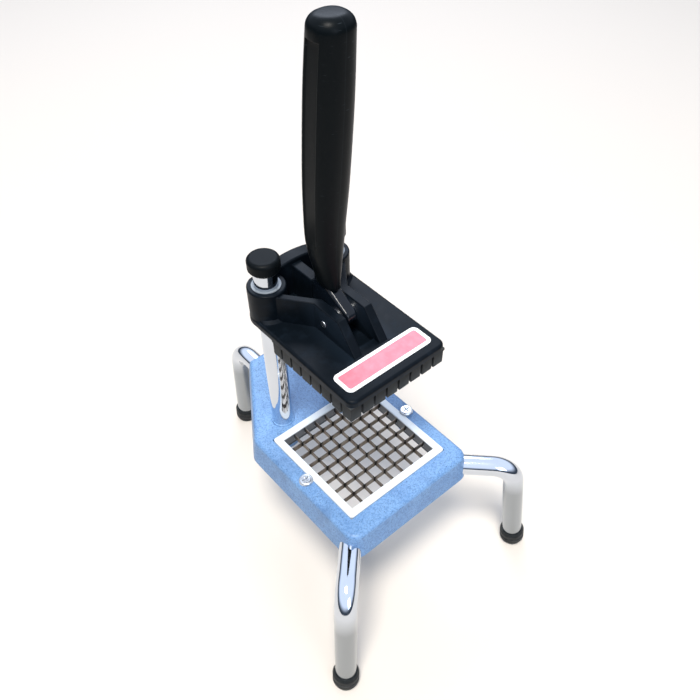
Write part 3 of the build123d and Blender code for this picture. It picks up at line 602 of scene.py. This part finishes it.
def buildLabel(sizes):
    low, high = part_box("blank_label")
    centre = (low + high) / 2
    skin = mm(sizes["skin"])
    bpy.ops.object.select_all(action="DESELECT")
    bpy.ops.mesh.primitive_plane_add(size=1, location=(centre.x, centre.y, low.z))
    label = startPiece("front_label")
    bpy.ops.object.mode_set(mode="EDIT")
    bpy.ops.transform.resize(value=(high.x - low.x - 2 * skin, high.y - low.y - 2 * skin, 1))
    bpy.ops.mesh.bevel(offset=mm(sizes["corner"]), segments=sizes["cornerSteps"], affect="VERTICES")
    bpy.ops.mesh.select_all(action="SELECT")
    edge = mm(sizes["edge"])
    for rise in (high.z - low.z - edge, edge):
        bpy.ops.mesh.extrude_region_move(TRANSFORM_OT_translate={"value": (0, 0, rise)})
    bpy.ops.transform.resize(value=sizes["topShrink"])
    bpy.ops.mesh.inset(thickness=mm(sizes["border"]), depth=0)
    settlePiece(label)
    label.data.materials.append(labelWhite)
    label.data.materials.append(labelRed)
    for face in label.data.polygons:
        if face.select:
            face.material_index = 1
    bpy.ops.object.mode_set(mode="EDIT")
    bpy.ops.mesh.select_all(action="SELECT")
    bpy.ops.mesh.normals_make_consistent(inside=False)
    bpy.ops.object.mode_set(mode="OBJECT")
    return label


label = buildLabel(labelSizes)
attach(label, "head")
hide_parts("blank_label")
print("label made")


# floor, lights and camera

stageSizes = {"floorSize": 2800.0, "floorColour": "#dcd6ce", "paperGrain": 25.0}


def buildFloor(sizes):
    bpy.ops.object.select_all(action="DESELECT")
    bpy.ops.mesh.primitive_plane_add(size=mm(sizes["floorSize"]), location=(0, 0, 0))
    floor = startPiece("studio_floor")
    material, tree, place = newMaterial("matt studio floor")
    paper = addNode(tree, "ShaderNodeTexNoise", {},
                    {"Vector": place, "Scale": 1000 / sizes["paperGrain"], "Detail": 3.0})
    rough = addNode(tree, "ShaderNodeMapRange", {},
                    {"Value": paper.outputs["Fac"], "To Min": 0.85, "To Max": 0.95})
    finishMaterial(tree, {"Base Color": fromHex(sizes["floorColour"]), "Roughness": rough.outputs[0],
                          "Specular IOR Level": 0.1})
    floor.data.materials.append(material)


# places and sizes in metres, power in watts
softboxes = {
    "key": {"place": (-0.73, -0.61, 2.7), "size": (0.8, 0.8), "power": 92, "colour": "#fffaf2"},
    "front": {"place": (-0.3, -1.7, 0.9), "size": (0.7, 0.9), "power": 8, "colour": "#e2edff"},
    "back": {"place": (0.9, 1.2, 1.5), "size": (1.2, 0.7), "power": 17, "colour": "#e4eeff"},
}
lightsAimAt = (0, 0, 0.2)


def addSoftbox(name, look):
    light = bpy.data.lights.new(name, "AREA")
    light.shape = "RECTANGLE"
    light.size, light.size_y = look["size"]
    light.energy = look["power"]
    light.color = fromHex(look["colour"])[:3]
    lamp = bpy.data.objects.new(name, light)
    bpy.context.collection.objects.link(lamp)
    lamp.location = look["place"]
    lamp.rotation_mode = "QUATERNION"
    lamp.rotation_quaternion = (Vector(lightsAimAt) - Vector(look["place"])).to_track_quat("-Z", "Y")


def buildSky():
    # pale to the eye; polished metal sees a darker band near the horizon, as in a real room
    sky = {"high": "#dfeaff", "low": "#39414c", "seen": "#ffffff", "lit": 0.5, "mirrored": 1.5}
    world = bpy.data.worlds.new("studio")
    bpy.context.scene.world = world
    world.use_nodes = True
    tree = world.node_tree
    tree.nodes.clear()
    direction = addNode(tree, "ShaderNodeTexCoord").outputs["Generated"]
    parts = addNode(tree, "ShaderNodeSeparateXYZ", {}, {0: direction})
    height = addNode(tree, "ShaderNodeMapRange", {"interpolation_type": "SMOOTHSTEP"},
                     {"Value": parts.outputs["Z"], "From Min": 0.05, "From Max": 0.45})
    colour = addNode(tree, "ShaderNodeMix", {"data_type": "RGBA"},
                     {"Factor": height.outputs[0], 6: fromHex(sky["low"]), 7: fromHex(sky["high"])})
    ray = addNode(tree, "ShaderNodeLightPath")
    shown = addNode(tree, "ShaderNodeMix", {"data_type": "RGBA"},
                    {"Factor": ray.outputs["Is Camera Ray"], 6: colour.outputs[2], 7: fromHex(sky["seen"])})
    mirrored = addNode(tree, "ShaderNodeMapRange", {},
                       {"Value": ray.outputs["Is Glossy Ray"], "To Min": sky["lit"],
                        "To Max": sky["mirrored"]})
    strength = addNode(tree, "ShaderNodeMath", {"operation": "MAXIMUM"},
                       {0: mirrored.outputs[0], 1: ray.outputs["Is Camera Ray"]})
    back = addNode(tree, "ShaderNodeBackground", {},
                   {"Color": shown.outputs[2], "Strength": strength.outputs[0]})
    addNode(tree, "ShaderNodeOutputWorld", {}, {"Surface": back.outputs[0]})


def buildCamera():
    # the photograph's angle: from the front left, looking down
    shot = {
        "place": (-216.28, -288.79, 554.93), "target": (0.0, -37.43, 178.0), "roll": -0.27,
        "lens": 37.14, "shiftX": -0.0112, "shiftY": 0.061,
    }
    camera = bpy.data.cameras.new("camera")
    camera.lens = shot["lens"]
    camera.sensor_width = 36
    camera.shift_x = shot["shiftX"]
    camera.shift_y = shot["shiftY"]
    camera.clip_start = 0.01
    camera.clip_end = 100
    eye = bpy.data.objects.new("camera", camera)
    bpy.context.collection.objects.link(eye)
    eye.location = mm(*shot["place"])
    eye.rotation_mode = "QUATERNION"
    aim = (mm(*shot["target"]) - eye.location).to_track_quat("-Z", "Y")
    eye.rotation_quaternion = aim @ Matrix.Rotation(math.radians(shot["roll"]), 3, "Z").to_quaternion()
    bpy.context.scene.camera = eye


buildFloor(stageSizes)
buildSky()
for name, look in softboxes.items():
    addSoftbox(name, look)
buildCamera()
bpy.context.scene.view_settings.view_transform = "Standard"
print("floor, lights and camera set")
